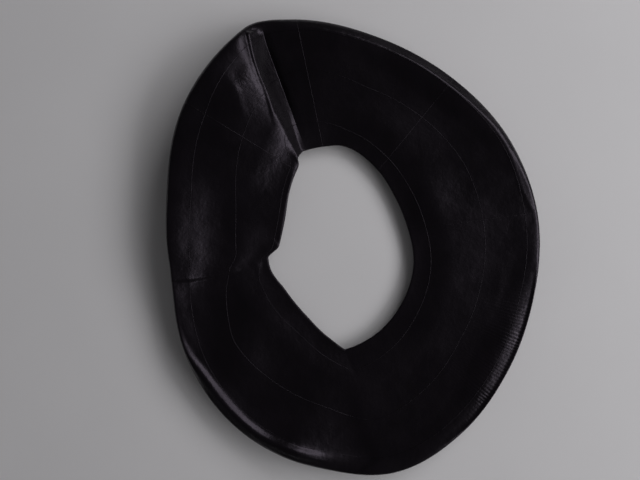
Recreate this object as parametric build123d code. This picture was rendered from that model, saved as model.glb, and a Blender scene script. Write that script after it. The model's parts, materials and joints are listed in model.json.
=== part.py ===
from build123d import *
import os
from math import cos, hypot, pi, radians, sin

# Slack pneumatic inner tube for a small wheel, lying on its side, with a straight
# rubber-covered car-type valve folded under it. Millimetres, +Z up.

# ---------------------------------------------------------------- driving dimensions
# The ring as it was moulded
MEAN_RADIUS = 131.0          # ring centre to the middle of the round section
SECTION_RADIUS = 36.0        # of the moulded section
TUBE_WALL = 1.4              # rubber thickness
SLACK_GAP = 9.0              # air left between the two skins in the middle of the band

# The ring gone flat: a band with a fat roll along its tread edge and a tight one along its rim edge
FLAT_WIDTH = pi * SECTION_RADIUS
TREAD_RADIUS = MEAN_RADIUS + FLAT_WIDTH / 2
RIM_RADIUS = MEAN_RADIUS - FLAT_WIDTH / 2
BAND_HALF = TUBE_WALL + SLACK_GAP / 2
ROLL_REACH = 2.2             # the tread roll dies out over this many of its own radii
RIM_REACH = 34.0             # the band thins out to the rim edge over this distance

# The valve: a brass insert in a rubber stem, which leaves the rim side of the tube at its
# own section of the ring, bends over and runs out along the floor under the band. Lengths
# along the stem are measured from the end of the bend.
VALVE_STATION = "valve"
VALVE_FROM_RIM = 29.0        # rim edge to the middle of the foot
FLOOR_GAP = 0.35             # under the stem
PAD_RADIUS = 17.0            # rubber foot, vulcanised to the tube
PAD_THICKNESS = 1.5
PAD_STEP = 2.5               # the thicker middle of the foot stops this far inside its edge
STEM_RADIUS = 5.75           # rubber-covered stem, for the valve hole in a rim
STEM_BEND = 11.0             # radius of the bend at the middle of the stem
STEM_LENGTH = 20.0           # straight and full size
ROOT_RADIUS = 9.5            # flare of the stem where it meets the foot
ROOT_LENGTH = 5.0
NOSE_RADIUS = 4.5            # taper at the end of the rubber
NOSE_LENGTH = 2.0
PASSAGE_RADIUS = 1.5         # air passage through the rubber and the tube's wall

INSERT_START = 2.0           # brass insert inside the rubber
INSERT_RADIUS = 3.4
BARB_RADIUS = 4.1            # rings that key the brass into the rubber
BARB_WIDTH = 1.2
BARB_PITCH = 4.0
BARB_COUNT = 4
THREAD_LENGTH = 8.0          # outside thread, from the rubber's nose to the mouth
THREAD_RADIUS = 3.85         # crest of the outside thread
THREAD_PITCH = 0.794
THREAD_DEPTH = 0.4
INSERT_BORE = 2.0            # below the core
CORE_BORE = 2.6              # round the core's screw plug
SEAT_TAPER = 2.5             # length of the cone between the two bores
MOUTH_TO_SEAT = 7.2          # mouth down to the top of that cone

# The core, a spring-loaded check valve. Depths are measured down from the mouth.
RUN_GAP = 0.05               # between core pieces, and between core and bore
FACE_GAP = 0.02              # between flat faces of pieces that move apart
PLUG_DEPTH = 0.8
PLUG_LENGTH = 4.8
PLUG_PITCH = 0.705
PLUG_THREAD_DEPTH = 0.3
PLUG_FLAT_WIDTH = 3.4        # across the flats that a core key turns
PLUG_FLAT_LENGTH = 1.8
PIN_RADIUS = 0.65
PIN_DEPTH = 0.5
PIN_HEAD_RADIUS = 0.9
PIN_HEAD_LENGTH = 0.7
PIN_CLEARANCE = 0.4          # air way round the pin, in the plug
BARREL_RADIUS = 1.75
BARREL_LENGTH = 9.4
BARREL_BORE = 1.3
BARREL_LIP = 1.0             # thickness of the inner shoulder that the spring sits on
BARREL_LIP_BORE = 0.8
BARREL_SHOULDER = 2.2        # top of the barrel, under the plug
GASKET_LENGTH = 2.0
GASKET_NECK = 0.15           # depth of the groove that holds the gasket
COLLAR_RADIUS = 1.15         # crimp on the pin that takes the spring's other end
COLLAR_LENGTH = 0.5
SPRING_LENGTH = 5.2
SPRING_WIRE = 0.11           # radius of the wire
SPRING_TURNS = 8
SPRING_RADIUS = 0.96         # to the middle of the wire
SEAL_LENGTH = 0.9
SEAL_RADIUS = 1.5
CUP_WALL = 0.25
CUP_TAIL = 0.9               # the pin's crimped end past the cup

# The dust cap
CAP_RADIUS = 4.85
CAP_CLEARANCE = 0.08         # bore to thread crest
CAP_TOP = 1.3
CAP_RIM_GAP = 0.3            # from the rubber's nose
CAP_RIBS = 24
CAP_RIB_DEPTH = 0.3
CAP_ROUND = 0.8
CAP_SEAL_LENGTH = 1.2
CAP_SEAL_GAP = 0.25          # seal's edge to the cap's bore

# How the slack ring lies. Each station is one section across the band: where its tread
# edge and its rim edge lie (angle in degrees, and how far out of the flat ring's own
# radius), the roll radius at each edge, and the height of the middle of the band at the
# tread roll, at one third, at two thirds and at the rim roll. The rim edge has a sharp
# corner at the stations named below.
#                 tread edge    rim edge      rolls      heights
STATIONS = {
    "right": (10, -10.5, 15, -14.5, 5.5, 2.6, 7, 7, 8.5, 9.5),
    "right_upper": (33, -10, 43, -10.5, 7.5, 2.6, 9.5, 8, 8.5, 9.5),
    "upper_right": (57, -8, 66, 1, 10, 2.6, 12, 9, 9, 9.5),
    "top_right": (80, 2, 88, 15.5, 9, 2.6, 12.5, 10, 9.5, 9.5),
    "top": (102, 20, 102, 18, 9, 2.6, 14, 12, 10, 9.5),
    "pleat": (112, 27.5, 113.5, 19.5, 8, 2.6, 13, 9.5, 9.5, 9.5),
    "bump": (117, 20, 116, 16.5, 8, 2.6, 26, 28, 22.5, 15),
    "valve": (138, -1, 122, 6, 8, 2.6, 30, 30, 22, 13),
    "left_upper": (163, -26, 151, -14.5, 6, 2.6, 28, 20, 14, 12),
    "left": (185, -34, 179, -16, 5, 2.6, 26, 17, 12, 12),
    "tuck": (192.5, -32.5, 187.5, -5.5, 5, 2.6, 22.5, 15, 12, 12),
    "left_lower": (199.5, -28, 197, -5.5, 6, 2.6, 17, 13, 11, 11),
    "lower_left": (219.5, -13.5, 216.5, -9, 8, 2.6, 14, 11.5, 10, 10),
    "lower": (244, 2.5, 241, -4, 8, 2.6, 12.5, 10.5, 9.5, 9.5),
    "bottom_left": (264.5, 11, 260, 8, 8, 2.6, 11, 10, 9, 9.5),
    "bottom": (283, 19, 270.5, 18, 8, 2.6, 10, 9, 9, 9.5),
    "bottom_right": (303, 8.5, 291.5, 8.5, 9.5, 2.6, 10, 8.5, 8.5, 9.5),
    "right_lower": (323.5, -5, 315, -1.5, 11, 2.6, 11, 8, 8.5, 9.5),
    "right_low": (345.5, -12, 340, -8.5, 9, 2.6, 9.2, 7.5, 8.5, 9.5),
}
RIM_CORNERS = ("pleat", "tuck", "bottom")

SECTION_SPACING = 18.0       # between sections, along the tread edge
ROLL_SPANS = 4               # spline spans round each roll
SKIN_SPANS = 9               # spline spans along each skin
NUDGE = 1e-4                 # share of an outline, for its direction


# ---------------------------------------------------------------- the slack ring
def polar(angle, radius):
    """Point in plan at an angle in degrees."""
    return Vector(radius * cos(radians(angle)), radius * sin(radians(angle)), 0)


def hermite(a, b, slope_a, slope_b, f):
    """Cubic from a to b with the slopes given per span, at fraction f."""
    g = 1 - f
    return a * g * g * (1 + 2 * f) + b * f * f * (3 - 2 * f) + slope_a * f * g * g - slope_b * f * f * g


def station_row(index):
    """A station's values, with both angles counted on past a full turn."""
    row = list(STATIONS.values())[index % len(STATIONS)]
    turns = 360 * (index // len(STATIONS))
    return (row[0] + turns, row[1], row[2] + turns) + row[3:]


def tread_chord(index):
    """Distance along the tread edge from a station to the next."""
    row, after = station_row(index), station_row(index + 1)
    return (polar(after[0], TREAD_RADIUS + after[1]) - polar(row[0], TREAD_RADIUS + row[1])).length


def slope_at(index, column, side):
    """Slope of one station value at a station; a corner has one on each side (-1 or 1)."""
    before, here, after = (station_row(index + k)[column] for k in (-1, 0, 1))
    name = list(STATIONS)[index % len(STATIONS)]
    if name in RIM_CORNERS and column in (2, 3):
        if side < 0:
            return (here - before) / tread_chord(index - 1)
        return (after - here) / tread_chord(index)
    return (after - before) / (tread_chord(index - 1) + tread_chord(index))


def between(index, f):
    """Station values at fraction f of the way from one station to the next."""
    span = tread_chord(index)
    row, after = station_row(index), station_row(index + 1)
    return [hermite(row[c], after[c], span * slope_at(index, c, 1), span * slope_at(index + 1, c, -1), f)
            for c in range(len(row))]


def middle_height(heights, t):
    """Height of the middle of the band, t from 0 at the tread roll to 1 at the rim roll."""
    tread, third, two_thirds, rim = heights
    slopes = (0, (two_thirds - tread) / 2, (rim - third) / 2, 0)
    span = min(int(3 * t), 2)
    return hermite(heights[span], heights[span + 1], slopes[span], slopes[span + 1], 3 * t - span)


def fade(distance, reach):
    """One at no distance, nothing at the reach and beyond, level at both ends."""
    f = min(distance / reach, 1)
    return 1 - f * f * (3 - 2 * f)


def edge_points(row):
    """The tread edge and the rim edge of a section, in plan."""
    return polar(row[0], TREAD_RADIUS + row[1]), polar(row[2], RIM_RADIUS + row[3])


def outline_point(row, v):
    """Point (out from the rim edge, up) on a section's closed outline, v from 0 to 1."""
    tread_edge, rim_edge = edge_points(row)
    tread_roll, rim_roll, heights = row[4], row[5], row[6:]
    width = (tread_edge - rim_edge).length
    flat = width - tread_roll - rim_roll
    side, f = int(4 * v) % 4, 4 * v % 1
    if side == 0:                                   # round the tread roll, from below
        turn = pi * (f - 0.5)
        return width - tread_roll + tread_roll * cos(turn), heights[0] + tread_roll * sin(turn)
    if side == 2:                                   # round the rim roll, from above
        turn = pi * (f + 0.5)
        return rim_roll + rim_roll * cos(turn), heights[3] + rim_roll * sin(turn)
    t = f if side == 1 else 1 - f                   # inwards on top, outwards below
    half = BAND_HALF + (tread_roll - BAND_HALF) * fade(t * flat, ROLL_REACH * tread_roll)
    half += (rim_roll - BAND_HALF) * fade((1 - t) * flat, RIM_REACH)
    up = half if side == 1 else -half
    return rim_roll + (1 - t) * flat, middle_height(heights, t) + up


def outline_frame(row, v, inset):
    """Point and outward direction (out, up) of an outline moved in from the rubber's face."""
    out, up = outline_point(row, v)
    out_a, up_a = outline_point(row, (v - NUDGE) % 1)
    out_b, up_b = outline_point(row, (v + NUDGE) % 1)
    run, rise = out_b - out_a, up_b - up_a
    length = hypot(run, rise)
    face_out, face_up = rise / length, -run / length
    return (out - inset * face_out, up - inset * face_up), (face_out, face_up)


def in_space(row, out, up):
    """Point of a section in space."""
    tread_edge, rim_edge = edge_points(row)
    return rim_edge + (tread_edge - rim_edge).normalized() * out + Vector(0, 0, up)


def section(row, inset):
    """Closed wire round one section: a spline for each roll and each skin."""
    edges = []
    for side, spans in enumerate((ROLL_SPANS, SKIN_SPANS, ROLL_SPANS, SKIN_SPANS)):
        marks = [((side + k / spans) / 4) % 1 for k in range(spans + 1)]
        points = [in_space(row, *outline_frame(row, v, inset)[0]) for v in marks]
        ends = []
        for v in (marks[0], marks[-1]):
            face_out, face_up = outline_frame(row, v, inset)[1]
            ends.append(in_space(row, -face_up, face_out) - in_space(row, 0, 0))
        edges.append(Edge.make_spline(points, tangents=ends))
    return Wire(edges)


def ring(inset):
    """The whole ring as one closed body, its face moved inwards by inset."""
    wires = []
    for index in range(len(STATIONS)):
        steps = max(1, round(tread_chord(index) / SECTION_SPACING))
        wires += [section(between(index, k / steps), inset) for k in range(steps)]
    return Solid.make_loft(wires + wires[:1], ruled=True)


# ---------------------------------------------------------------- where the valve sits
VALVE_ROW = STATIONS[VALVE_STATION]
VALVE_WIDTH = (edge_points(VALVE_ROW)[0] - edge_points(VALVE_ROW)[1]).length
VALVE_SHARE = (VALVE_WIDTH - VALVE_ROW[4] - VALVE_FROM_RIM) / (VALVE_WIDTH - VALVE_ROW[4] - VALVE_ROW[5])
FOOT, FOOT_FACE = outline_frame(VALVE_ROW, 1 - VALVE_SHARE / 4, 0)
STEM_HEIGHT = STEM_RADIUS + FLOOR_GAP
BEND_COS = FOOT_FACE[0]                              # of the angle that the stem turns through
BEND_SIN = -FOOT_FACE[1]
ROOT_RUN = (FOOT[1] - STEM_HEIGHT - STEM_BEND * (1 - BEND_COS)) / BEND_SIN
BEND_START = (FOOT[0] + ROOT_RUN * BEND_COS, FOOT[1] - ROOT_RUN * BEND_SIN)
STEM_START = (BEND_START[0] + STEM_BEND * BEND_SIN, STEM_HEIGHT)

OUTWARD = in_space(VALVE_ROW, 1, 0) - in_space(VALVE_ROW, 0, 0)
FOOT_PLANE = Plane(in_space(VALVE_ROW, *FOOT), x_dir=OUTWARD.cross(Vector(0, 0, 1)),
                   z_dir=in_space(VALVE_ROW, *FOOT_FACE) - in_space(VALVE_ROW, 0, 0))
STEM_PLANE = Plane(in_space(VALVE_ROW, *STEM_START), x_dir=(0, 0, 1), z_dir=OUTWARD)

NOSE_END = STEM_LENGTH + NOSE_LENGTH
MOUTH = NOSE_END + THREAD_LENGTH
SEAT_TOP = MOUTH - MOUTH_TO_SEAT
SEAT_END = SEAT_TOP - SEAT_TAPER
PLUG_TOP = MOUTH - PLUG_DEPTH
PLUG_END = PLUG_TOP - PLUG_LENGTH
GASKET_TOP = SEAT_TOP
BARREL_END = PLUG_END - BARREL_LENGTH
SPRING_START = BARREL_END + BARREL_LIP
COLLAR_START = SPRING_START + SPRING_LENGTH
PIN_TOP = MOUTH - PIN_DEPTH
SEAL_START = BARREL_END - FACE_GAP - SEAL_LENGTH
CUP_END = SEAL_START - CUP_WALL
CAP_START = NOSE_END + CAP_RIM_GAP
CAP_BORE = THREAD_RADIUS + CAP_CLEARANCE
CAP_SEAL_TOP = MOUTH + FACE_GAP + CAP_SEAL_LENGTH
CAP_END = CAP_SEAL_TOP + FACE_GAP + CAP_TOP


def turned(points):
    """Solid turned about the stem from the (radius, place along the stem) corners of its half section."""
    outline = Wire.make_polygon([Vector(radius, 0, along) for radius, along in points])
    return STEM_PLANE.location * revolve(Face(outline), Axis.Z)


def ringed(start, end, crest, root, pitch):
    """Corners of a thread shown as plain rings, from start to end along the stem."""
    corners = [(crest, start)]
    count = int((end - start) / pitch)
    for k in range(count):
        low = start + k * pitch
        corners += [(crest, low + 0.25 * pitch), (root, low + 0.5 * pitch), (crest, low + 0.75 * pitch)]
    return corners + [(crest, end)]


def disc(start, end, radius, bore=0.0):
    """Plain washer or rod between two places along the stem."""
    return turned([(bore, start), (radius, start), (radius, end), (bore, end)])


# ---------------------------------------------------------------- the tube and its valve
def tube_body(outer, inner):
    """Hollow rubber ring, with the air hole in its rim side."""
    hole = FOOT_PLANE.location * Cylinder(PASSAGE_RADIUS, 2 * TUBE_WALL + SLACK_GAP)
    return outer - inner - hole


def thickened_band(thickness, radius):
    """The band as thick as the foot makes it, cut out round the valve."""
    return ring(-thickness) & FOOT_PLANE.location * Cylinder(radius, 2 * PAD_RADIUS)


def bent_rod(radius):
    """Rod along the root and the bend, from inside the band to the straight stem."""
    start = FOOT_PLANE.origin - FOOT_PLANE.z_dir * BAND_HALF
    bend = in_space(VALVE_ROW, *BEND_START)
    path = Wire([Edge.make_line(start, bend),
                 Edge.make_tangent_arc(bend, FOOT_PLANE.z_dir, STEM_PLANE.origin)])
    return sweep(Plane(start, z_dir=FOOT_PLANE.z_dir).location * Circle(radius), path)


def stem_rubber(outer):
    """Rubber moulding: foot, flared root, bend, straight stem and nose round the brass insert."""
    pad = thickened_band(PAD_THICKNESS / 2, PAD_RADIUS)
    pad += thickened_band(PAD_THICKNESS, PAD_RADIUS - PAD_STEP)
    flare = FOOT_PLANE.location * Pos(0, 0, ROOT_LENGTH / 2 - BAND_HALF) * Cone(
        ROOT_RADIUS, STEM_RADIUS, ROOT_LENGTH)
    straight = turned([(0, 0), (STEM_RADIUS, 0), (STEM_RADIUS, STEM_LENGTH), (NOSE_RADIUS, NOSE_END),
                       (0, NOSE_END)])
    above_and_below = (pad + flare + bent_rod(STEM_RADIUS) + straight - outer).solids()
    below = above_and_below.sort_by(Axis(FOOT_PLANE.origin, FOOT_PLANE.z_dir))[-1]
    insert = turned(insert_outline() + [(0, NOSE_END), (0, INSERT_START)])
    return below - insert - bent_rod(PASSAGE_RADIUS) - disc(0, INSERT_START, PASSAGE_RADIUS)


def insert_outline():
    """Corners of the brass insert where the rubber is moulded round it, barbs and all."""
    corners = [(INSERT_RADIUS, INSERT_START)]
    for k in range(BARB_COUNT):
        low = INSERT_START + (k + 0.5) * BARB_PITCH
        corners += [(INSERT_RADIUS, low), (BARB_RADIUS, low), (BARB_RADIUS, low + BARB_WIDTH),
                    (INSERT_RADIUS, low + BARB_WIDTH)]
    return corners + [(INSERT_RADIUS, NOSE_END)]


def stem_insert():
    """Brass insert: barbed in the rubber, threaded outside it, bored and seated for the core."""
    crests = ringed(NOSE_END, MOUTH, THREAD_RADIUS, THREAD_RADIUS - THREAD_DEPTH, THREAD_PITCH)
    bore = [(CORE_BORE, MOUTH), (CORE_BORE, SEAT_TOP), (INSERT_BORE, SEAT_END), (INSERT_BORE, INSERT_START)]
    return turned(insert_outline() + crests + bore)


def core_plug():
    """Screw plug of the core, with two flats at its top for a core key."""
    crest = CORE_BORE - RUN_GAP
    root = crest - PLUG_THREAD_DEPTH
    bore = PIN_RADIUS + PIN_CLEARANCE
    thread_top = PLUG_TOP - PLUG_FLAT_LENGTH
    plug = turned([(bore, PLUG_END)] + ringed(PLUG_END, thread_top, crest, root, PLUG_PITCH)
                  + [(root, thread_top), (root, PLUG_TOP), (bore, PLUG_TOP)])
    for side in (-1, 1):
        away = Pos(side * (PLUG_FLAT_WIDTH + CORE_BORE) / 2, 0, PLUG_TOP)
        plug -= STEM_PLANE.location * away * Box(CORE_BORE, 2 * CORE_BORE, 2 * PLUG_FLAT_LENGTH)
    return plug


def core_barrel():
    """Lower body of the core: a sleeve with a shoulder for the gasket and a lip for the spring."""
    gasket_end = GASKET_TOP - GASKET_LENGTH
    neck = BARREL_RADIUS - GASKET_NECK
    return turned([(BARREL_LIP_BORE, BARREL_END), (BARREL_RADIUS, BARREL_END), (BARREL_RADIUS, gasket_end),
                   (neck, gasket_end), (neck, GASKET_TOP), (BARREL_SHOULDER, GASKET_TOP),
                   (BARREL_SHOULDER, PLUG_END), (BARREL_BORE, PLUG_END), (BARREL_BORE, SPRING_START),
                   (BARREL_LIP_BORE, SPRING_START)])


def core_gasket():
    """Sleeve seal round the barrel's neck, tapered like the cone it is pressed on."""
    neck = BARREL_RADIUS - GASKET_NECK
    low = GASKET_TOP - GASKET_LENGTH
    return turned([(neck, low), (seat_radius(low), low), (CORE_BORE, GASKET_TOP), (neck, GASKET_TOP)])


def seat_radius(along):
    """Radius of the cone between the insert's two bores."""
    share = (along - SEAT_END) / SEAT_TAPER
    return INSERT_BORE + share * (CORE_BORE - INSERT_BORE)


def core_pin():
    """Valve pin: head at the mouth, crimped collar for the spring, and a tail through the cup."""
    return turned([(0, CUP_END - CUP_TAIL), (PIN_RADIUS, CUP_END - CUP_TAIL), (PIN_RADIUS, COLLAR_START),
                   (COLLAR_RADIUS, COLLAR_START), (COLLAR_RADIUS, COLLAR_START + COLLAR_LENGTH),
                   (PIN_RADIUS, COLLAR_START + COLLAR_LENGTH), (PIN_RADIUS, PIN_TOP - PIN_HEAD_LENGTH),
                   (PIN_HEAD_RADIUS, PIN_TOP - PIN_HEAD_LENGTH), (PIN_HEAD_RADIUS, PIN_TOP), (0, PIN_TOP)])


def core_spring():
    """Coil spring round the pin, between the barrel's lip and the pin's collar."""
    rise = COLLAR_START - SPRING_START - 2 * SPRING_WIRE
    helix = Helix(rise / SPRING_TURNS, rise, SPRING_RADIUS)
    wire = Plane(helix @ 0, z_dir=helix % 0).location * Circle(SPRING_WIRE)
    return STEM_PLANE.location * Pos(0, 0, SPRING_START + SPRING_WIRE) * sweep(wire, helix)


def core_cup():
    """Brass cup crimped on the inner end of the pin; it carries the sealing washer."""
    outside = SEAL_RADIUS + CUP_WALL
    return turned([(PIN_RADIUS, CUP_END), (outside, CUP_END), (outside, SEAL_START + SEAL_LENGTH / 2),
                   (SEAL_RADIUS, SEAL_START + SEAL_LENGTH / 2), (SEAL_RADIUS, SEAL_START),
                   (PIN_RADIUS, SEAL_START)])


def core_seal():
    """Rubber washer that shuts against the inner end of the barrel."""
    return disc(SEAL_START, SEAL_START + SEAL_LENGTH, SEAL_RADIUS, PIN_RADIUS)


def cap_shell():
    """Moulded dust cap with grip ribs; its thread is shown as a plain bore."""
    foot = CAP_RADIUS - CAP_RIB_DEPTH
    cap = turned([(CAP_BORE, CAP_START), (foot, CAP_START), (foot, CAP_END - CAP_ROUND),
                  (foot - CAP_ROUND, CAP_END), (0, CAP_END), (0, CAP_END - CAP_TOP),
                  (CAP_BORE, CAP_END - CAP_TOP)])
    rib_length = CAP_END - CAP_START - 2 * CAP_ROUND
    rib = Pos(foot, 0, (CAP_START + CAP_END) / 2) * Cylinder(CAP_RIB_DEPTH, rib_length)
    for k in range(CAP_RIBS):
        cap += STEM_PLANE.location * Rot(0, 0, 360 * k / CAP_RIBS) * rib
    return cap


def cap_seal():
    """Rubber disc inside the cap, on the mouth of the insert."""
    return disc(MOUTH + FACE_GAP, CAP_SEAL_TOP, CAP_BORE - CAP_SEAL_GAP)


# ---------------------------------------------------------------- nodes
outer_ring = ring(0)
nodes = {
    "tube_body": tube_body(outer_ring, ring(TUBE_WALL)),
    "stem_rubber": stem_rubber(outer_ring),
    "stem_insert": stem_insert(),
    "core_plug": core_plug(),
    "core_barrel": core_barrel(),
    "core_gasket": core_gasket(),
    "core_pin": core_pin(),
    "core_spring": core_spring(),
    "core_cup": core_cup(),
    "core_seal": core_seal(),
    "cap_shell": cap_shell(),
    "cap_seal": cap_seal(),
}

# The origin is in the middle of the ring's plan, on the surface that it lies on.
box = nodes["tube_body"].bounding_box()
to_origin = Pos(-box.center().X, -box.center().Y, -box.min.Z)
os.makedirs("parts", exist_ok=True)
for name, shape in nodes.items():
    export_step(shape.moved(to_origin), f"parts/{name}.step")
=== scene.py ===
"""Slack rubber inner tube of a small wheel, with its car-type valve folded under it.

The ring is one closed surface of two parameters: s, the place along the tread edge in
millimetres, and v, the share of the way round the section. The raised mould lines are
fine beads carried along paths on that surface.
"""
import json
import math

import bpy
import numpy as np
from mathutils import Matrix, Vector


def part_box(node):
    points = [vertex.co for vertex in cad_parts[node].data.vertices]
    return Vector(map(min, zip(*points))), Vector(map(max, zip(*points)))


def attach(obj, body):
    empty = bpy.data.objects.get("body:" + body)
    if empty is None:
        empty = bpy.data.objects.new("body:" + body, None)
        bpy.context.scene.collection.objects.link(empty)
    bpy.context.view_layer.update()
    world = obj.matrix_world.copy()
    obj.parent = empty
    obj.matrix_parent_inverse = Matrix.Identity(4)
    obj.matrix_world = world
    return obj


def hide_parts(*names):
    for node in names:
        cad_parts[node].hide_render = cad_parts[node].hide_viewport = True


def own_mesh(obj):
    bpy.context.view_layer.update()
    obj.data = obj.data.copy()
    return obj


bl_info = {
    "name": "Slack inner tube",
    "version": (1, 0, 0),
    "blender": (4, 5, 0),
    "location": "3D View > Sidebar > Inner tube",
    "description": "A slack rubber inner tube with mould lines and a rubber-covered valve",
    "category": "Add Mesh",
}

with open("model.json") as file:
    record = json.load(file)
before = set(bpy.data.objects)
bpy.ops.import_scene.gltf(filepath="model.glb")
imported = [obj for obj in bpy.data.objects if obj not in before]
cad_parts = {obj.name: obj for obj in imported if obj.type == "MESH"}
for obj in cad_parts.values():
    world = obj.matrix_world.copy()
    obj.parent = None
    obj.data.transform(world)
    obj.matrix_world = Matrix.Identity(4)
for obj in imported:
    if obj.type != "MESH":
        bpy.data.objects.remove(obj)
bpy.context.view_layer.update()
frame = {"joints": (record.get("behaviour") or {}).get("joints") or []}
MM = 0.001

# ---------------------------------------------------------------- sizes of the ring, in millimetres
MEAN_RADIUS = 131.0
SECTION_RADIUS = 36.0
TUBE_WALL = 1.4
SLACK_GAP = 9.0
FLAT_WIDTH = math.pi * SECTION_RADIUS
TREAD_RADIUS = MEAN_RADIUS + FLAT_WIDTH / 2
RIM_RADIUS = MEAN_RADIUS - FLAT_WIDTH / 2
BAND_HALF = TUBE_WALL + SLACK_GAP / 2
ROLL_REACH = 2.2             # the tread roll dies out over this many of its own radii
RIM_REACH = 34.0             # the band thins out to the rim edge over this distance

# Sections of the slack ring: tread edge (angle in degrees, how far out of the flat ring's
# radius), rim edge (the same), radii of the tread roll and the rim roll, and the height of
# the middle of the band at the tread roll, one third, two thirds and the rim roll.
STATIONS = {
    "right": (10, -10.5, 15, -14.5, 5.5, 1.0, 7, 7, 8.5, 9.5),
    "right_upper": (33, -10, 43, -10.5, 7.5, 1.0, 9.5, 8, 8.5, 9.5),
    "upper_right": (57, -8, 66, 1, 10, 1.0, 12, 9, 9, 9.5),
    "top_right": (80, 2, 88, 15.5, 9, 1.0, 12.5, 10, 9.5, 9.5),
    "top": (102, 20, 102, 18, 9, 1.0, 14, 12, 10, 9.5),
    "pleat": (112, 27.5, 113.5, 19.5, 8, 1.0, 13, 9.5, 9.5, 9.5),
    "bump": (118, 19, 117.2, 15.5, 8, 1.0, 26.5, 26.6, 21, 15),
    "valve": (138, -1, 122, 6, 8, 1.0, 30, 30, 22, 13),
    "left_upper": (163, -26, 151, -14.5, 6, 1.0, 28, 20, 14, 12),
    "left": (185, -34, 179, -16, 5, 1.0, 26, 17, 12, 12),
    "tuck": (192.5, -32.5, 187.5, -5.5, 5, 1.0, 22.5, 15, 12, 12),
    "left_lower": (199.5, -28, 197, -5.5, 6, 1.0, 17, 13, 11, 11),
    "lower_left": (219.5, -13.5, 216.5, -9, 8, 1.0, 14, 11.5, 10, 10),
    "lower": (244, 2.5, 241, -4, 8, 1.0, 12.5, 10.5, 9.5, 9.5),
    "bottom_left": (264.5, 11, 260, 8, 8, 1.0, 11, 10, 9, 9.5),
    "bottom": (283, 19, 270.5, 18, 8, 1.0, 10, 9, 9, 9.5),
    "bottom_right": (303, 8.5, 291.5, 8.5, 9.5, 1.0, 10, 8.5, 8.5, 9.5),
    "right_lower": (323.5, -5, 315, -1.5, 11, 1.0, 11, 8, 8.5, 9.5),
    "right_low": (345.5, -12, 340, -8.5, 9, 1.0, 9.2, 7.5, 8.5, 9.5),
}
TREAD_ANGLE, TREAD_OUT, RIM_ANGLE, RIM_OUT, TREAD_ROLL = range(5)       # columns of a station
RIM_CORNERS = ("pleat", "tuck", "bottom")
EVEN_SPREAD = 3.5            # the sections are evened out over this length of tread edge
CORNER_SPREAD = 1.5          # the rim edge keeps its corners

# Mould lines on each skin: how far across the band they run, from the tread edge (0) to the
# rim edge (1), at each station that has its own value.
MOULD_LINES = {
    "outer_line": {"right": 0.107, "right_upper": 0.085, "upper_right": 0.10, "top": 0.10, "bump": 0.13,
                   "valve": 0.19, "left_upper": 0.205, "tuck": 0.185, "lower_left": 0.145, "lower": 0.13,
                   "bottom_left": 0.15, "bottom": 0.135, "right_lower": 0.125},
    "middle_line": {"right": 0.43, "right_upper": 0.41, "upper_right": 0.425, "top_right": 0.46,
                    "top": 0.39, "bump": 0.48, "valve": 0.52, "left_upper": 0.575, "tuck": 0.61,
                    "left_lower": 0.535, "lower_left": 0.425, "lower": 0.455, "bottom_left": 0.475,
                    "bottom": 0.427, "right_lower": 0.455},
    "inner_line": {"right": 0.87, "top_right": 0.87, "top": 0.805, "bump": 0.80, "valve": 0.95,
                   "left_upper": 0.945, "tuck": 0.938, "left_lower": 0.866, "lower_left": 0.835,
                   "lower": 0.86, "bottom_left": 0.845, "bottom": 0.833, "right_lower": 0.855},
}
CROSS_LINES = ("right", "upper_right", "top", "valve")      # stations with a line round the section
# Flash lines where the mould's halves met, as shares of the way round the section: the tread
# edge is at 0.125, and more than that is further up.
FLASH_LINES = {
    "tread_flash": {"right": 0.118, "top": 0.126, "pleat": 0.140, "valve": 0.152, "left_upper": 0.140,
                    "left_lower": 0.122, "bottom": 0.115},
    "rim_flash": {"right": 0.625, "top": 0.622, "valve": 0.628, "left": 0.622, "lower": 0.628},
}
# Section of a raised line: places across it, in widths, and up from the rubber, in heights.
BEAD_OUTLINE = ((-0.5, -0.5), (-0.36, 0.5), (0.0, 1.0), (0.36, 0.5), (0.5, -0.5), (0.0, -0.9))
BEAD_STEP = 1.6              # between the points of a raised line that runs round the ring

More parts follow.
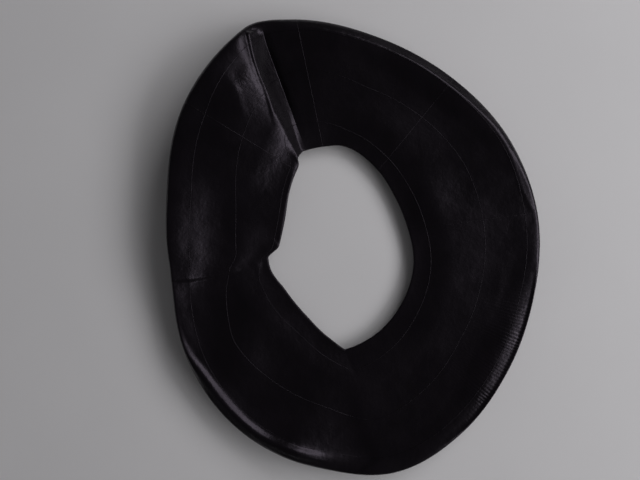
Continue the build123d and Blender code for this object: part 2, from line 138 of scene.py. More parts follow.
# Folds in the upper skin, in plan from the ring's own centre: path, height (below nothing
# for a furrow), how far it reaches to the left and to the right of the way the path runs,
# how much of the path it takes to rise and to die out, and whether its crest is an edge.
FOLDS = {
    "pleat_furrow": ([(-72, 192), (-69, 180), (-52, 134), (-34, 86)], -3.2, 7.5, 9, 0.04, 0.5, True),
    "pleat_edge": ([(-84, 190), (-79, 168), (-73, 150), (-68, 138), (-64, 125), (-58, 98)],
                   2.4, 17, 4, 0.03, 0.5, False),
    "hump_edge": ([(-102, 158), (-100, 144), (-94, 134), (-89, 118), (-85, 103)],
                  0.6, 7, 10, 0.25, 0.35, False),
    "pleat_stripe": ([(-64, 186), (-53, 168), (-42, 143), (-37, 120)], 0.5, 8, 8, 0.3, 0.3, False),
    "left_edge": ([(-146, 82), (-152, 52), (-155, 22), (-156, -5), (-157, -30), (-155, -56), (-148, -80),
                   (-136, -104), (-119, -128)], 3.8, 20, 4, 0.45, 0.38, False),
    "right_low_slope": ([(169, -2), (166, -46), (155, -88), (134, -130), (104, -159), (75, -175)],
                        -4.5, 10, 32, 0.25, 0.3, False),
    "left_crease": ([(-118, 78), (-109, 42), (-108, 20), (-109, -3), (-117, -26)],
                    -1.2, 18, 24, 0.35, 0.2, False),
    "inner_lift": ([(-42, 92), (-48, 62), (-55, 30), (-62, 6)], 2.6, 8, 30, 0.25, 0.3, False),
    "tuck_crease": ([(-158, -31), (-147, -31), (-132, -30), (-116, -27), (-99, -23), (-83, -17)],
                    -0.9, 2.2, 3.0, 0.05, 0.35, True),
    "tuck_ledge": ([(-160, -29), (-132, -27), (-105, -22), (-81, -14)], 1.4, 18, 5, 0.1, 0.4, False),
    "tuck_flap": ([(-84, -20), (-77, -13), (-70, -6), (-59, 4)], 0.7, 8, 6, 0.2, 0.05, False),
    "tuck_pucker": ([(-77, -13), (-76, -31)], 0.35, 4, 4, 0.1, 0.6, False),
    "bottom_crease": ([(1, -100), (-1, -118), (3, -145), (12, -172), (24, -194)],
                      -1.6, 14, 30, 0.7, 0.02, False),
    "upper_right_edge": ([(20, 182), (67, 161), (89, 146), (111, 128), (133, 108), (144, 92)],
                         0.4, 5, 3.5, 0.35, 0.15, False),
    "right_edge": ([(140, 99), (150, 76), (158, 55), (169, 31)], 0.5, 4, 3, 0.2, 0.1, False),
    "right_corner": ([(175, 29), (168, 29), (139, 29), (122, 30)], -0.25, 3, 4, 0.05, 0.7, True),
    "bottom_edge": ([(-153, -44), (-152, -58), (-147, -77), (-137, -96), (-125, -112), (-114, -127),
                     (-96, -148), (-75, -166), (-50, -177), (-23, -185), (8, -191)],
                    3.0, 6.5, 7.5, 0.3, 0.22, False),
    "right_slant": ([(64, -29), (95, -23), (126, -16)], -0.25, 2, 2.5, 0.3, 0.4, True),
}
# Broad swells of the upper skin: centre in plan, radius and height.
SWELLS = (((74, 36), 24, 1.4), ((-80, 182), 16, 0.8), ((-104, 132), 28, 3.4), ((-48, 100), 20, 1.6),
          ((-42, -180), 33, 5.8), ((-92, -92), 34, 5.0), ((118, -60), 28, 1.0), ((110, 60), 26, -0.8),
          ((60, -120), 34, -1.0), ((-88, 60), 24, 0.9), ((10, 150), 30, 1.0))

# Outer face of the tread roll at the stations: 1 is a slant face, 0 a round one and -1 a square
# one with a tight edge.
ROLL_FACES = {"right": -0.7, "right_upper": 0.3, "upper_right": 1.0, "top_right": 0.9, "top": 0.3,
              "pleat": -0.6, "left": -0.9, "bottom": -0.9, "right_lower": -0.9, "right_low": -0.8}
SLANT = 0.6                  # a slant face loses this much height for each unit outwards
SQUARENESS = 5               # power of the rounded square; 2 is a circle

# Fine wrinkles across the tread roll and the band beside it, on the lower right.
WRINKLE_PITCH = 3.1
WRINKLE_HEIGHT = 0.22
WRINKLE_FROM = "bottom_right"
WRINKLE_LEAD = 25.0          # they start this far before that station
WRINKLE_STOP = 60.0          # and end this far before the ring's first station
WRINKLE_RISE = 90.0          # length over which they grow
WRINKLE_FALL = 16.0          # length over which they die out
# Shares of the way round the section, from the roll's outer side: where they begin and how far
# they take to grow, and where they begin to fade on the band and how far that takes.
WRINKLE_GROW = (0.03, 0.06)
WRINKLE_FADE = (0.14, 0.24)

# The relief of the upper skin grows from the tread edge and fades towards the rim edge. Both are
# shares of the way round the section, each with how far the change takes.
TREAD_EDGE, TREAD_BLEND = 0.125, 0.08
RIM_EDGE, RIM_BLEND = 0.625, 0.06

# Grid of the rubber ring: rows on the tread roll, the upper skin, the rim roll and the lower skin.
RING_ROWS = (26, 62, 8, 12)
BEAD_ROWS = (13, 68, 9, 68)  # the same for the points of a cross line
PLEAT_HALF = 18.0            # the columns are fine this far either side of the pleat
COUNT_STEP = 0.1             # the columns are counted in steps of this length
BOX_SAMPLES = (1500, 81)     # columns and rows that measure the plain ring's box
NORMAL_STEPS = (0.3, 0.0008)     # steps in s and v that give the rubber's outward direction

# The core's spring.
SPRING_TURNS = 8
POINTS_PER_TURN = 40
WIRE_SIDES = 10

# Relief in the moulded rubber, finest first: noise cells in a metre, detail, strength of the bump
# and its depth in metres.
RUBBER_RELIEF = (
    (2400.0, 1.0, 0.25, 0.00008),       # pores 0.4 mm apart, coarser than real ones so that they show
    (420.0, 3.0, 0.6, 0.0002),          # grain 2.4 mm across
    (90.0, 3.0, 0.7, 0.0008),           # dents 11 mm across
)
BLOOM_SCALE = 28.0           # noise cells in a metre: patches of bloom 36 mm across
GLOSS_SPREAD = 0.06          # how far the roughness strays from its middle

# Stage. Lengths are in metres, and places are from the ring's own centre.
CAMERA_OFFSET = np.array([-0.0216, 0.0063])
VIEW_LEVEL = 0.010           # height at which the view width is given
FLOOR_HALF = 3.0
FLOOR_SHADE = 0.94           # the darker parts of the floor's paint, as a share of the paler
FLOOR_SCALE = 9.0            # noise cells in a metre: faint clouds 110 mm across
LAMP_DISTANCE = 2.4          # from the frame's origin
# Soft lamps: bearing and rise in degrees, share of the power, width and height.
LAMPS = ((-22, 34, 0.36, 2.1, 0.9), (16, 34, 0.30, 1.5, 0.9), (52, 34, 0.24, 1.1, 0.9),
         (16, 53, 0.07, 3.2, 0.7))


# ---------------------------------------------------------------- small tools
def smooth(f):
    """Cubic step from 0 to 1, level at both ends."""
    f = np.clip(f, 0, 1)
    return f * f * (3 - 2 * f)


def linear(hex_colour):
    """Linear colour with alpha 1 from an sRGB hex value."""
    parts = [int(hex_colour[k:k + 2], 16) / 255 for k in (1, 3, 5)]
    return tuple(c / 12.92 if c <= 0.04045 else ((c + 0.055) / 1.055) ** 2.4 for c in parts) + (1.0,)


def grid_faces(rows, columns, close_rows=True):
    """Four-sided faces of a grid whose points run along columns first: each joins a point to the
    next ones. The last column joins the first, and so does the last row, unless it is open."""
    r, c = np.meshgrid(np.arange(rows if close_rows else rows - 1), np.arange(columns), indexing="ij")
    r, c = r.ravel(), c.ravel()
    r1, c1 = (r + 1) % rows, (c + 1) % columns
    return np.stack([r * columns + c, r * columns + c1, r1 * columns + c1, r1 * columns + c], 1)


def outward(points, faces):
    """The faces, turned round if the volume they enclose, summed over their two triangles each,
    is below nothing."""
    a, b, c, d = (points[faces[:, k]] for k in range(4))
    volume = np.sum(a * np.cross(b, c)) + np.sum(a * np.cross(c, d))
    return faces if volume > 0 else faces[:, ::-1]


def mesh_object(name, points, faces, shade_smooth=True):
    """Object at the origin from points in metres and four-sided faces."""
    mesh = bpy.data.meshes.new(name)
    mesh.vertices.add(len(points))
    mesh.vertices.foreach_set("co", np.asarray(points, np.float32).ravel())
    mesh.loops.add(4 * len(faces))
    mesh.loops.foreach_set("vertex_index", np.asarray(faces, np.int32).ravel())
    mesh.polygons.add(len(faces))
    mesh.polygons.foreach_set("loop_start", np.arange(len(faces), dtype=np.int32) * 4)
    mesh.polygons.foreach_set("use_smooth", np.full(len(faces), shade_smooth))
    mesh.update(calc_edges=True)
    mesh.validate()
    piece = bpy.data.objects.new(name, mesh)
    bpy.context.scene.collection.objects.link(piece)
    return piece


# ---------------------------------------------------------------- the ring as a function
def hermite(a, b, slope_a, slope_b, f):
    """Cubic from a to b with the slopes given per span, at fraction f."""
    g = 1 - f
    return a * g * g * (1 + 2 * f) + b * f * f * (3 - 2 * f) + slope_a * f * g * g - slope_b * f * f * g


class Ring:
    """Section values of the slack ring at any place along its tread edge. Between stations
    each value follows a cubic whose slope at a station is the mean over its two spans, then
    the line is evened out by a bell curve."""
    STEP = 0.25              # between the places where the values are kept, in millimetres

    def __init__(self):
        rows = np.array(list(STATIONS.values()), float)
        names = list(STATIONS)
        count = len(rows)
        # Both angles grow by a full turn from the last station to the first.
        turn = np.zeros(rows.shape[1])
        turn[[TREAD_ANGLE, RIM_ANGLE]] = 360.0
        after = np.roll(rows, -1, 0)
        after[-1] += turn
        # The stations' places are the straight spans between their tread edges, added up.
        radius, angle = TREAD_RADIUS + rows[:, TREAD_OUT], np.radians(rows[:, TREAD_ANGLE])
        x, y = radius * np.cos(angle), radius * np.sin(angle)
        span = np.hypot(np.roll(x, -1) - x, np.roll(y, -1) - y)
        starts = np.concatenate([[0], np.cumsum(span)])
        self.length = starts[-1]
        self.place = dict(zip(names, starts))
        rise = after - rows
        span_before = np.roll(span, 1)[:, None]
        leaving = (rise + np.roll(rise, 1, 0)) / (span[:, None] + span_before)
        arriving = leaving.copy()
        # At a corner of the rim edge the slope changes at once.
        for name in RIM_CORNERS:
            k = names.index(name)
            for column in (RIM_ANGLE, RIM_OUT):
                leaving[k, column] = rise[k, column] / span[k]
                arriving[k, column] = rise[k - 1, column] / span[k - 1]
        self.places = np.arange(0, self.length, self.STEP)
        k = np.clip(np.searchsorted(starts, self.places, side="right") - 1, 0, count - 1)
        f = ((self.places - starts[k]) / span[k])[:, None]
        self.values = hermite(rows[k], after[k], leaving[k] * span[k, None],
                              arriving[(k + 1) % count] * span[k, None], f)
        self.turn = turn
        for column in range(rows.shape[1]):
            spread = CORNER_SPREAD if column in (RIM_ANGLE, RIM_OUT) else EVEN_SPREAD
            trend = turn[column] * self.places / self.length
            self.values[:, column] = self.evened(self.values[:, column] - trend, spread) + trend

    def evened(self, line, spread):
        """A closed line of values smoothed by a bell curve of the given spread."""
        wave = np.fft.rfftfreq(len(line), self.STEP)
        bell = np.exp(-2 * (math.pi * wave * spread) ** 2)
        return np.fft.irfft(np.fft.rfft(line) * bell, len(line))

    def at(self, s):
        """The ten section values at places s, as arrays shaped like s."""
        turns = np.floor(s / self.length)
        inside = s - turns * self.length
        grid = np.append(self.places, self.length)
        found = []
        for column in range(len(self.turn)):
            line = np.append(self.values[:, column], self.values[0, column] + self.turn[column])
            found.append(np.interp(inside, grid, line) + turns * self.turn[column])
        return found

    def line(self, marks):
        """A smooth closed line through values given at named stations, as a function of s. It
        runs straight from mark to mark, is evened out by a bell curve, and its first mark is at
        the first station."""
        places = [self.place[name] for name in marks] + [self.length]
        values = list(marks.values())
        evened = self.evened(np.interp(self.places, places, values + values[:1]), 2 * EVEN_SPREAD)
        return lambda s: np.interp(s % self.length, self.places, evened, period=self.length)


RING = Ring()


def middle_height(heights, t):
    """Height of the middle of the band, t from 0 at the tread roll to 1 at the rim roll: three
    cubics through the four heights, level at both ends, whose slope at an inner height is half
    the rise between its neighbours."""
    tread, third, two_thirds, rim = heights
    zero = np.zeros_like(tread)
    marks = (tread, third, two_thirds, rim)
    slopes = (zero, (two_thirds - tread) / 2, (rim - third) / 2, zero)
    spans = [hermite(marks[k], marks[k + 1], slopes[k], slopes[k + 1], 3 * t - k) for k in range(3)]
    return np.where(t < 1 / 3, spans[0], np.where(t < 2 / 3, spans[1], spans[2]))


def ring_plain(s, v):
    """Points of the rolled, slack section: a half circle round each edge and two skins that
    part from the middle of the band by half its thickness, which swells into the rolls. A
    quarter of the way round goes to each: tread roll, upper skin, rim roll and lower skin."""
    tread_angle, tread_out, rim_angle, rim_out, tread_roll, rim_roll, *heights = RING.at(s)
    tread_angle, rim_angle = np.radians(tread_angle), np.radians(rim_angle)
    tread_x = (TREAD_RADIUS + tread_out) * np.cos(tread_angle)
    tread_y = (TREAD_RADIUS + tread_out) * np.sin(tread_angle)
    rim_x = (RIM_RADIUS + rim_out) * np.cos(rim_angle)
    rim_y = (RIM_RADIUS + rim_out) * np.sin(rim_angle)
    width = np.hypot(tread_x - rim_x, tread_y - rim_y)
    flat = width - tread_roll - rim_roll
    side = np.floor(4 * (v % 1))
    f = 4 * (v % 1) - side
    turn = math.pi * (f - 0.5)
    t = np.where(side == 1, f, 1 - f)
    half = BAND_HALF + (tread_roll - BAND_HALF) * (1 - smooth(t * flat / (ROLL_REACH * tread_roll)))
    half = half + (rim_roll - BAND_HALF) * (1 - smooth((1 - t) * flat / RIM_REACH))
    middle = middle_height(heights, t)
    out = np.select([side == 0, side == 2],
                    [width - tread_roll + tread_roll * np.cos(turn), rim_roll - rim_roll * np.cos(turn)],
                    rim_roll + (1 - t) * flat)
    up = np.select([side == 0, side == 2],
                   [heights[0] + tread_roll * np.sin(turn), heights[3] - rim_roll * np.sin(turn)],
                   middle + np.where(side == 1, half, -half))
    share = out / width
    return np.stack([rim_x + (tread_x - rim_x) * share, rim_y + (tread_y - rim_y) * share, up], -1)


def rounded(path, spans=6):
    """A smooth line through the marks of a path, with this many steps between two marks, along
    cubics whose slope at a mark is half the way between its neighbours."""
    marks = np.array(path, float)
    slopes = np.gradient(marks, axis=0)
    f = (np.arange(spans) / spans)[:, None]
    parts = [hermite(marks[k], marks[k + 1], slopes[k], slopes[k + 1], f)
             for k in range(len(marks) - 1)]
    return np.concatenate(parts + [marks[-1:]])


def along_path(x, y, path):
    """Distance to the right of a path (below nothing on its left), and the share of the path
    passed, 0 to 1, both from the nearest point of its straight steps."""
    marks = rounded(path)
    steps = np.diff(marks, axis=0)
    lengths = np.hypot(steps[:, 0], steps[:, 1])
    before = np.concatenate([[0], np.cumsum(lengths)])
    best = np.full(np.shape(x), 1e9)
    side, share = np.zeros(np.shape(x)), np.zeros(np.shape(x))
    for (x0, y0), (dx, dy), length, passed in zip(marks, steps, lengths, before):
        f = np.clip(((x - x0) * dx + (y - y0) * dy) / length ** 2, 0, 1)
        away_x, away_y = x - x0 - f * dx, y - y0 - f * dy
        away = np.hypot(away_x, away_y)
        near = away < best
        best = np.where(near, away, best)
        side = np.where(near, np.sign(away_x * dy - away_y * dx), side)
        share = np.where(near, (passed + f * length) / before[-1], share)
    return best * side, share


def relief(x, y):
    """Height that the folds and swells add to the upper skin at a place in plan. A fold falls
    away from its path to nothing at its reach, by a cubic step or, with an edge, by a square,
    and a swell is a bell."""
    added = np.zeros(np.shape(x))
    for path, height, left, right, rise, fall, edged in FOLDS.values():
        marks = np.array(path)
        reach = max(left, right)
        near = ((x > marks[:, 0].min() - reach) & (x < marks[:, 0].max() + reach)
                & (y > marks[:, 1].min() - reach) & (y < marks[:, 1].max() + reach))
        away, share = along_path(x[near], y[near], path)
        f = np.clip(np.abs(away) / np.where(away < 0, left, right), 0, 1)
        crest = (1 - f) ** 2 if edged else 1 - smooth(f)
        added[near] += height * crest * smooth(share / rise) * smooth((1 - share) / fall)
    for (x0, y0), radius, height in SWELLS:
        added += height * np.exp(-((x - x0) ** 2 + (y - y0) ** 2) / (0.5 * radius ** 2))
    return added


def wrinkled_length():
    """Where along the ring the fine wrinkles start and end."""
    return RING.place[WRINKLE_FROM] - WRINKLE_LEAD, RING.length - WRINKLE_STOP


def wrinkles(s, v):
    """Height of the fine wrinkles: waves along the ring, on the tread roll's top and the band
    beside it. Two slower waves and a lean with v make their pitch uneven, and a product of two
    takes their depth from 0.2 to 1."""
    start, end = wrinkled_length()
    zone = smooth((s - start) / WRINKLE_RISE) * smooth((end - s) / WRINKLE_FALL)
    grow, fade = ((v - begin) / length for begin, length in (WRINKLE_GROW, WRINKLE_FADE))
    across = smooth(grow) * (1 - smooth(fade))
    uneven = 1.1 * np.sin(s / 9.7) + 0.9 * np.sin(s / 4.3 + 14 * v) + 6 * v
    depth = 0.6 + 0.4 * np.sin(s / 6.1 + 3) * np.sin(s / 17.0)
    return WRINKLE_HEIGHT * zone * across * depth * np.sin(2 * math.pi * s / WRINKLE_PITCH + uneven)


def roll_face(s, v):
    """Height added to the round outer face of the tread roll, for a slant or a square one:
    the new face's height less the circle's, at the same distance outwards. The slant face is a
    straight line that is never above the circle, and the square one a circle's formula with a
    higher power."""
    turn = math.pi * np.clip(4 * v - 0.5, 0, 0.5)
    outwards, round_up = np.cos(turn), np.sin(turn)
    slant_up = np.minimum(round_up, 1 - SLANT * outwards)
    square_up = (1 - np.minimum(outwards, 1) ** SQUARENESS) ** (1 / SQUARENESS)
    face = RING.line(ROLL_FACES)(s)
    added = np.where(face > 0, face * (slant_up - round_up), -face * (square_up - round_up))
    return RING.at(s)[TREAD_ROLL] * added


def ring_folded(s, v):
    """Points of the ring with the folds, swells and wrinkles of its upper skin."""
    points = ring_plain(s, v)
    points[..., 2] += roll_face(s, v)
    upper = smooth((v - TREAD_EDGE) / TREAD_BLEND) * smooth((RIM_EDGE - v) / RIM_BLEND)
    points[..., 2] += upper * relief(points[..., 0], points[..., 1]) + wrinkles(s, v)
    return points


def ring_shift():
    """Move from the ring's own centre to the frame's origin, in millimetres, that sets the
    plain ring in the CAD body's box and on its floor."""
    columns, rows = BOX_SAMPLES
    s, v = np.meshgrid(np.linspace(0, RING.length, columns), np.linspace(0, 1, rows))
    points = ring_plain(s, v).reshape(-1, 3)
    low, high = (np.array(corner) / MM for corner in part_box("tube_body"))
    middle = (points.min(0) + points.max(0)) / 2
    shift = (low + high) / 2 - middle
    shift[2] = low[2] - points[:, 2].min()
    return shift


SHIFT = ring_shift()


def ring_points(s, v):
    """Points of the rubber's face in the frame, in millimetres."""
    return ring_folded(s, v) + SHIFT


def ring_normals(s, v):
    """Outward directions: the cross product of the steps between nearby points along the ring
    and round the section."""
    step_s, step_v = NORMAL_STEPS
    along = ring_points(s + step_s, v) - ring_points(s - step_s, v)
    around = ring_points(s, v + step_v) - ring_points(s, v - step_v)
    normal = np.cross(along, around)
    return normal / np.linalg.norm(normal, axis=-1, keepdims=True)


def row_shares(counts):
    """Values of v for the rows: so many round each roll and along each skin."""
    marks = [(side + np.arange(count) / count) / 4 for side, count in enumerate(counts)]
    return np.concatenate(marks)


def column_places(fine, coarse):
    """Values of s for the columns, fine at the wrinkles and the pleat and coarse elsewhere: the
    columns passed are added up along the ring, and whole numbers of them are read back as s."""
    start, end = wrinkled_length()
    s = np.arange(0, RING.length, COUNT_STEP)
    is_fine = (s > start) & (s < end) | (np.abs(s - RING.place["pleat"]) < PLEAT_HALF)
    passed = np.concatenate([[0], np.cumsum(COUNT_STEP / np.where(is_fine, fine, coarse))])
    columns = np.linspace(0, passed[-1], int(passed[-1]), endpoint=False)
    return np.interp(columns, passed, np.append(s, RING.length))


def upper_share(s, across):
    """Value of v on the upper skin at a share of the band's width in from the tread edge. The
    law of cosines gives the width. On the roll v follows the turn of the circle, and past it
    the share of the flat part."""
    tread_angle, tread_out, rim_angle, rim_out, tread_roll, rim_roll = RING.at(s)[:6]
    between = np.radians(tread_angle - rim_angle)
    tread, rim = TREAD_RADIUS + tread_out, RIM_RADIUS + rim_out
    width = np.sqrt(tread ** 2 + rim ** 2 - 2 * tread * rim * np.cos(between))
    inwards = across * width
    turn = np.arccos(np.clip(1 - inwards / tread_roll, 0, 1))
    t = (inwards - tread_roll) / (width - tread_roll - rim_roll)
    return np.where(inwards < tread_roll, (turn / math.pi + 0.5) / 4, (1 + np.clip(t, 0, 1)) / 4)


def bead(s, v, width, height):
    """Closed bead along a closed path on the rubber: its low, rounded section is set across the
    path and along the rubber's outward direction, with its foot a little way inside."""
    path, up = ring_points(s, v), ring_normals(s, v)
    along = np.roll(path, -1, 0) - np.roll(path, 1, 0)
    across = np.cross(along, up)
    across /= np.linalg.norm(across, axis=-1, keepdims=True)
    outline = np.array(BEAD_OUTLINE)[:, :, None, None]
    return path + outline[:, 0] * width * across + outline[:, 1] * height * up


def coil(fixed_end, outwards, length, radius, wire):
    """Closed coil of round wire, as points and faces: it winds round an axis that lies level,
    from its fixed end outwards. A point of the wire's middle is at the coil's radius, turned
    by its angle, and as far along as its share of the turns. Round it stands a circle of the
    wire's own radius, and four faces shut each end. Lengths include the wire's thickness."""
    turn = np.linspace(0, 2 * math.pi * SPRING_TURNS, POINTS_PER_TURN * SPRING_TURNS + 1)[:, None]
    up = np.array([0.0, 0.0, 1.0])
    out = np.cos(turn) * up - np.sin(turn) * np.cross(outwards, up)
    rise = (wire + (length - 2 * wire) * turn / turn[-1]) * outwards
    ring = np.arange(WIRE_SIDES) * 2 * math.pi / WIRE_SIDES
    away = (radius - wire + wire * np.cos(ring))[None, :, None]
    along = (wire * np.sin(ring))[None, :, None]
    points = fixed_end + rise[:, None] + out[:, None] * away + outwards * along
    near = np.arange(WIRE_SIDES // 2 - 1)
    far = WIRE_SIDES - 1 - near
    shut = np.stack([near, near + 1, far - 1, far], 1)
    faces = np.concatenate([grid_faces(len(turn), WIRE_SIDES, close_rows=False), shut[:, ::-1],
                            shut + WIRE_SIDES * (len(turn) - 1)])
    return points.reshape(-1, 3), faces


# ---------------------------------------------------------------- materials
def node(tree, kind, inputs=(), **settings):
    """Adds one node; inputs are (socket, value or output socket)."""
    made = tree.nodes.new(kind)
    for name, value in settings.items():
        setattr(made, name, value)
    for socket, value in inputs:
        if isinstance(value, bpy.types.NodeSocket):
            tree.links.new(value, made.inputs[socket])
        else:
            made.inputs[socket].default_value = value
    return made


def new_material(name):
    """Empty node material with its output; returns (material, tree, output node)."""
    material = bpy.data.materials.new(name)
    material.use_nodes = True
    tree = material.node_tree
    tree.nodes.clear()
    return material, tree, tree.nodes.new("ShaderNodeOutputMaterial")


def butyl_rubber(finish):
    """Butyl rubber from a mould: near black with a violet cast, and satin. The mould's skin gives
    soft dents, grain and pores, and a faint bloom varies the colour and gloss in patches, over
    the middle part of their noise."""
    material, tree, out = new_material("butyl_rubber_moulded")
    place = node(tree, "ShaderNodeTexCoord").outputs["Object"]
    bloom = node(tree, "ShaderNodeTexNoise", [("Vector", place), ("Scale", BLOOM_SCALE), ("Detail", 4.0)])
    colour = node(tree, "ShaderNodeMix", [(0, bloom.outputs["Fac"]), (6, linear(finish.rubber_dark)),
                                          (7, linear(finish.rubber_light))], data_type="RGBA")
    rough = node(tree, "ShaderNodeMapRange", [("Value", bloom.outputs["Fac"]),
                                              ("From Min", 0.3), ("From Max", 0.7),
                                              ("To Min", finish.rubber_roughness - 0.05),
                                              ("To Max", finish.rubber_roughness + GLOSS_SPREAD)])
    under = []
    for scale, detail, strength, depth in RUBBER_RELIEF:
        noise = node(tree, "ShaderNodeTexNoise", [("Vector", place), ("Scale", scale),
                                                  ("Detail", detail)])
        bump = node(tree, "ShaderNodeBump", [("Height", noise.outputs["Fac"]), ("Strength", strength),
                                             ("Distance", depth)] + under)
        under = [("Normal", bump.outputs["Normal"])]
    shader = node(tree, "ShaderNodeBsdfPrincipled", [
        ("Base Color", colour.outputs[2]), ("Roughness", rough.outputs[0]), ("IOR", 1.5),
        ("Specular IOR Level", 0.27), ("Specular Tint", linear(finish.rubber_sheen)),
        ("Normal", bump.outputs["Normal"])])
    tree.links.new(shader.outputs[0], out.inputs[0])
    return material


def plain_finish(name, colour, roughness, metallic=0.0, grain=0.0003, depth=0.00003, ior=None):
    """Turned metal, moulded plastic or rubber: one colour, with a fine grain in its roughness
    and relief. The grain's size and depth are in metres, and it is coarser than the real one,
    so that it shows."""
    material, tree, out = new_material(name)
    place = node(tree, "ShaderNodeTexCoord").outputs["Object"]
    noise = node(tree, "ShaderNodeTexNoise", [("Vector", place), ("Scale", 1 / grain), ("Detail", 2.0)])
    rough = node(tree, "ShaderNodeMapRange", [("Value", noise.outputs["Fac"]),
                                              ("To Min", roughness - GLOSS_SPREAD),
                                              ("To Max", roughness + GLOSS_SPREAD)])
    bump = node(tree, "ShaderNodeBump", [("Height", noise.outputs["Fac"]), ("Strength", 0.3),
                                         ("Distance", depth)])
    shader = node(tree, "ShaderNodeBsdfPrincipled", [
        ("Base Color", linear(colour)), ("Roughness", rough.outputs[0]), ("Metallic", metallic),
        ("Normal", bump.outputs["Normal"])])
    if ior:
        shader.inputs["IOR"].default_value = ior
    tree.links.new(shader.outputs[0], out.inputs[0])
    return material


def dress(piece, material):
    """Gives every material slot of a piece the same material."""
    slots = piece.data.materials
    if len(slots) == 0:
        slots.append(material)
    for k in range(len(slots)):
        slots[k] = material


# ---------------------------------------------------------------- settings
class TubeSize(bpy.types.PropertyGroup):
    """How finely the ring is made, its mould lines and the core's spring."""
    coarse_step: bpy.props.FloatProperty(
        name="Step", description="Length of a grid column along the ring, in millimetres", default=1.9)
    fine_step: bpy.props.FloatProperty(
        name="Fine step", description="The same at the wrinkles and the pleat", default=0.56)
    line_width: bpy.props.FloatProperty(
        name="Mould line width", description="Width of a raised line, in millimetres", default=0.75)
    line_height: bpy.props.FloatProperty(
        name="Mould line height", description="Height of a raised line, in millimetres", default=0.24)
    spring_wire: bpy.props.FloatProperty(
        name="Spring wire", description="Thickness of the spring's wire, in millimetres", default=0.22)


class TubeFinish(bpy.types.PropertyGroup):
    """Colours and roughness of the rubber and the valve."""
    rubber_dark: bpy.props.StringProperty(
        name="Rubber, dark", description="sRGB hex of clean rubber", default="#060506")
    rubber_light: bpy.props.StringProperty(
        name="Rubber, light", description="sRGB hex of bloomed rubber", default="#0f0c10")
    rubber_sheen: bpy.props.StringProperty(
        name="Rubber, sheen", description="sRGB hex that tints the rubber's reflections",
        default="#e8daf0")
    rubber_roughness: bpy.props.FloatProperty(
        name="Rubber roughness", description="Middle roughness of the rubber", default=0.27,
        min=0, max=1, subtype="FACTOR")
    brass: bpy.props.StringProperty(
        name="Brass", description="sRGB hex of the valve's brass", default="#c9a15a")
    cap: bpy.props.StringProperty(
        name="Cap", description="sRGB hex of the dust cap", default="#17171a")


class StageLook(bpy.types.PropertyGroup):
    """Floor, lights and camera."""
    floor: bpy.props.StringProperty(
        name="Floor", description="sRGB hex of the floor", default="#dedcdf")
    camera_height: bpy.props.FloatProperty(
        name="Camera height", description="Height above the floor", default=0.6, unit="LENGTH")
    view_width: bpy.props.FloatProperty(
        name="View width", description="Width of the view where the tube lies", default=0.576,
        unit="LENGTH")
    key_power: bpy.props.FloatProperty(
        name="Key light", description="Power that the soft lamps share out, in watts", default=48.0)
    fill: bpy.props.FloatProperty(
        name="Fill", description="Strength of the even light from all round", default=0.08)


# ---------------------------------------------------------------- pieces
class INNERTUBE_OT_skin(bpy.types.Operator):
    """The rubber ring: rolled edges, slack skins, folds and fine wrinkles"""
    bl_idname = "innertube.skin"
    bl_label = "Rubber ring"

    def execute(self, context):
        size = context.scene.tube_size
        s, v = np.meshgrid(column_places(size.fine_step, size.coarse_step), row_shares(RING_ROWS))
        points = ring_points(s, v).reshape(-1, 3)
        piece = mesh_object("rubber_ring", points * MM, outward(points, grid_faces(*s.shape)))
        dress(piece, butyl_rubber(context.scene.tube_finish))
        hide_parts("tube_body")
        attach(piece, "root")
        return {"FINISHED"}


class INNERTUBE_OT_lines(bpy.types.Operator):
    """Raised mould lines: round the ring on both skins, across the band, and along both edges"""
    bl_idname = "innertube.lines"
    bl_label = "Mould lines"

    def execute(self, context):
        size = context.scene.tube_size
        round_s = np.arange(0, RING.length, BEAD_STEP)
        paths = []
        for marks in MOULD_LINES.values():
            v = upper_share(round_s, RING.line(marks)(round_s))
            # The lower skin has the same line, on the other side of the tread edge.
            paths += [(round_s, v), (round_s, 2 * TREAD_EDGE - v)]
        paths += [(round_s, RING.line(marks)(round_s)) for marks in FLASH_LINES.values()]
        cross_v = row_shares(BEAD_ROWS)
        paths += [(np.full_like(cross_v, RING.place[name]), cross_v) for name in CROSS_LINES]
        all_points, all_faces, count = [], [], 0
        for s, v in paths:
            points = bead(s, v, size.line_width, size.line_height).reshape(-1, 3)
            faces = outward(points, grid_faces(len(BEAD_OUTLINE), len(s)))
            all_points.append(points)
            all_faces.append(faces + count)
            count += len(points)
        piece = mesh_object("mould_lines", np.concatenate(all_points) * MM, np.concatenate(all_faces))
        dress(piece, bpy.data.materials["butyl_rubber_moulded"])
        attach(piece, "root")
        return {"FINISHED"}


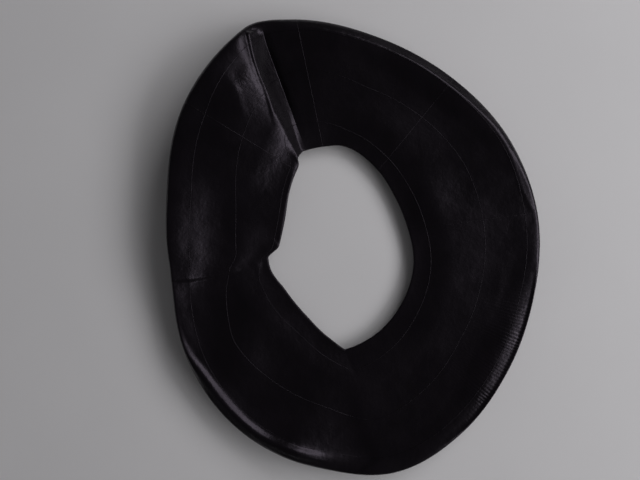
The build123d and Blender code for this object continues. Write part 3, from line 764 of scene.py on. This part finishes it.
class INNERTUBE_OT_valve(bpy.types.Operator):
    """Materials of the valve: rubber stem, brass insert, core and dust cap"""
    bl_idname = "innertube.valve"
    bl_label = "Valve"

    def execute(self, context):
        look = context.scene.tube_finish
        # Turned brass: yellow metal, bright, with fine tool marks.
        brass = plain_finish("turned_brass", look.brass, 0.24, metallic=1.0)
        brass_pieces = ("stem_insert", "core_plug", "core_barrel", "core_pin", "core_cup")
        finishes = dict.fromkeys(brass_pieces, brass)
        # Drawn steel wire: bright grey and smooth.
        finishes["core_spring"] = plain_finish("spring_steel", "#b8babd", 0.3, metallic=1.0)
        # Moulded rubber: dull, with a soft grain. The seals are smoother, and the gasket red.
        finishes["stem_rubber"] = plain_finish("moulded_stem_rubber", look.rubber_light, 0.5, ior=1.52,
                                               grain=0.0006, depth=0.00006)
        finishes["core_gasket"] = plain_finish("red_gasket", "#a8342a", 0.45, ior=1.38)
        finishes["core_seal"] = plain_finish("seal_rubber", "#1a1a1c", 0.6, ior=1.52)
        finishes["cap_seal"] = plain_finish("cap_seal_rubber", "#232326", 0.6, ior=1.52)
        # Moulded nylon: near black, with the mould's faint texture under a low gloss.
        finishes["cap_shell"] = plain_finish("cap_nylon", look.cap, 0.45, ior=1.53,
                                             grain=0.0004, depth=0.00005)
        for name, material in finishes.items():
            dress(bpy.data.objects[name], material)
        return {"FINISHED"}


class INNERTUBE_OT_spring(bpy.types.Operator):
    """The core's coil spring, wound in the place and length of the solid spring"""
    bl_idname = "innertube.spring"
    bl_label = "Core spring"

    def execute(self, context):
        press = next(joint for joint in frame["joints"] if joint["name"] == "pin_press")
        inward = np.array(press["axis"])
        low, high = (np.array(corner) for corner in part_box("core_spring"))
        radius = (high[2] - low[2]) / 2
        # The box of a level cylinder is as long in x as its length and its two ends lean there.
        length = ((high[0] - low[0]) - 2 * radius * abs(inward[1])) / abs(inward[0])
        fixed_end = (low + high) / 2 + inward * length / 2
        wire = context.scene.tube_size.spring_wire * MM / 2
        points, faces = coil(fixed_end, -inward, length, radius, wire)
        piece = mesh_object("spring_coil", points, outward(points, faces))
        # The plain grey steel that comes with the solids under this name.
        dress(piece, bpy.data.materials["spring_steel"])
        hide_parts("core_spring")
        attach(piece, "root")
        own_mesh(piece)
        return {"FINISHED"}


class INNERTUBE_OT_stage(bpy.types.Operator):
    """Pale painted floor, soft lamps on one side, even fill and the camera straight above"""
    bl_idname = "innertube.stage"
    bl_label = "Stage"

    def execute(self, context):
        look = context.scene.stage_look
        scene = context.scene
        # Painted floor: pale and matt, with faint clouds in the paint.
        material, tree, out = new_material("painted_floor")
        place = node(tree, "ShaderNodeTexCoord").outputs["Object"]
        noise = node(tree, "ShaderNodeTexNoise", [("Vector", place), ("Scale", FLOOR_SCALE),
                                                  ("Detail", 3.0)])
        pale = linear(look.floor)
        dark = [FLOOR_SHADE * c for c in pale[:3]] + [1]
        colour = node(tree, "ShaderNodeMix", [(0, noise.outputs["Fac"]), (6, pale), (7, dark)],
                      data_type="RGBA")
        shader = node(tree, "ShaderNodeBsdfPrincipled", [("Base Color", colour.outputs[2]),
                                                         ("Roughness", 0.6)])
        tree.links.new(shader.outputs[0], out.inputs[0])
        corners = FLOOR_HALF * np.array([[-1, -1, 0], [1, -1, 0], [1, 1, 0], [-1, 1, 0]])
        floor = mesh_object("floor", corners, np.array([[0, 1, 2, 3]]), False)
        dress(floor, material)

        for bearing, rise, share, width, height in LAMPS:
            lamp = bpy.data.lights.new("soft_lamp", "AREA")
            lamp.shape, lamp.size, lamp.size_y = "RECTANGLE", width, height
            lamp.energy = look.key_power * share
            panel = bpy.data.objects.new("soft_lamp", lamp)
            scene.collection.objects.link(panel)
            bearing, rise = math.radians(bearing), math.radians(rise)
            panel.location = LAMP_DISTANCE * Vector((math.cos(rise) * math.cos(bearing),
                                                     math.cos(rise) * math.sin(bearing), math.sin(rise)))
            panel.rotation_euler = (-panel.location).to_track_quat("-Z", "Y").to_euler()

        world = bpy.data.worlds.new("room")
        scene.world = world
        world.use_nodes = True
        background = world.node_tree.nodes["Background"]
        background.inputs["Color"].default_value = (1, 1, 1, 1)
        background.inputs["Strength"].default_value = look.fill

        lens = bpy.data.cameras.new("camera")
        camera = bpy.data.objects.new("camera", lens)
        scene.collection.objects.link(camera)
        middle = SHIFT[:2] * MM + CAMERA_OFFSET
        camera.location = (middle[0], middle[1], look.camera_height)
        lens.sensor_width = 36.0
        lens.lens = lens.sensor_width * (look.camera_height - VIEW_LEVEL) / look.view_width
        scene.camera = camera
        scene.view_settings.view_transform = "Standard"
        return {"FINISHED"}


class INNERTUBE_PT_panel(bpy.types.Panel):
    """Lists the settings and the pieces"""
    bl_idname = "INNERTUBE_PT_panel"
    bl_label = "Inner tube"
    bl_space_type = "VIEW_3D"
    bl_region_type = "UI"
    bl_category = "Inner tube"

    def draw(self, context):
        for group in (context.scene.tube_size, context.scene.tube_finish, context.scene.stage_look):
            for name in group.__annotations__:
                self.layout.prop(group, name)
        for operator in OPERATORS:
            self.layout.operator(operator.bl_idname)


OPERATORS = (INNERTUBE_OT_skin, INNERTUBE_OT_lines, INNERTUBE_OT_valve, INNERTUBE_OT_spring,
             INNERTUBE_OT_stage)
GROUPS = {"tube_size": TubeSize, "tube_finish": TubeFinish, "stage_look": StageLook}


def register():
    """Registers the settings, the operators and the panel."""
    for name, group in GROUPS.items():
        bpy.utils.register_class(group)
        setattr(bpy.types.Scene, name, bpy.props.PointerProperty(type=group))
    for cls in OPERATORS + (INNERTUBE_PT_panel,):
        bpy.utils.register_class(cls)


def unregister():
    """Takes the settings, the operators and the panel away again."""
    for cls in (INNERTUBE_PT_panel,) + OPERATORS[::-1]:
        bpy.utils.unregister_class(cls)
    for name, group in GROUPS.items():
        delattr(bpy.types.Scene, name)
        bpy.utils.unregister_class(group)


def main():
    """Makes every piece and the stage."""
    register()
    bpy.ops.innertube.skin()
    bpy.ops.innertube.lines()
    bpy.ops.innertube.valve()
    bpy.ops.innertube.spring()
    bpy.ops.innertube.stage()


if __name__ == "__main__":
    main()
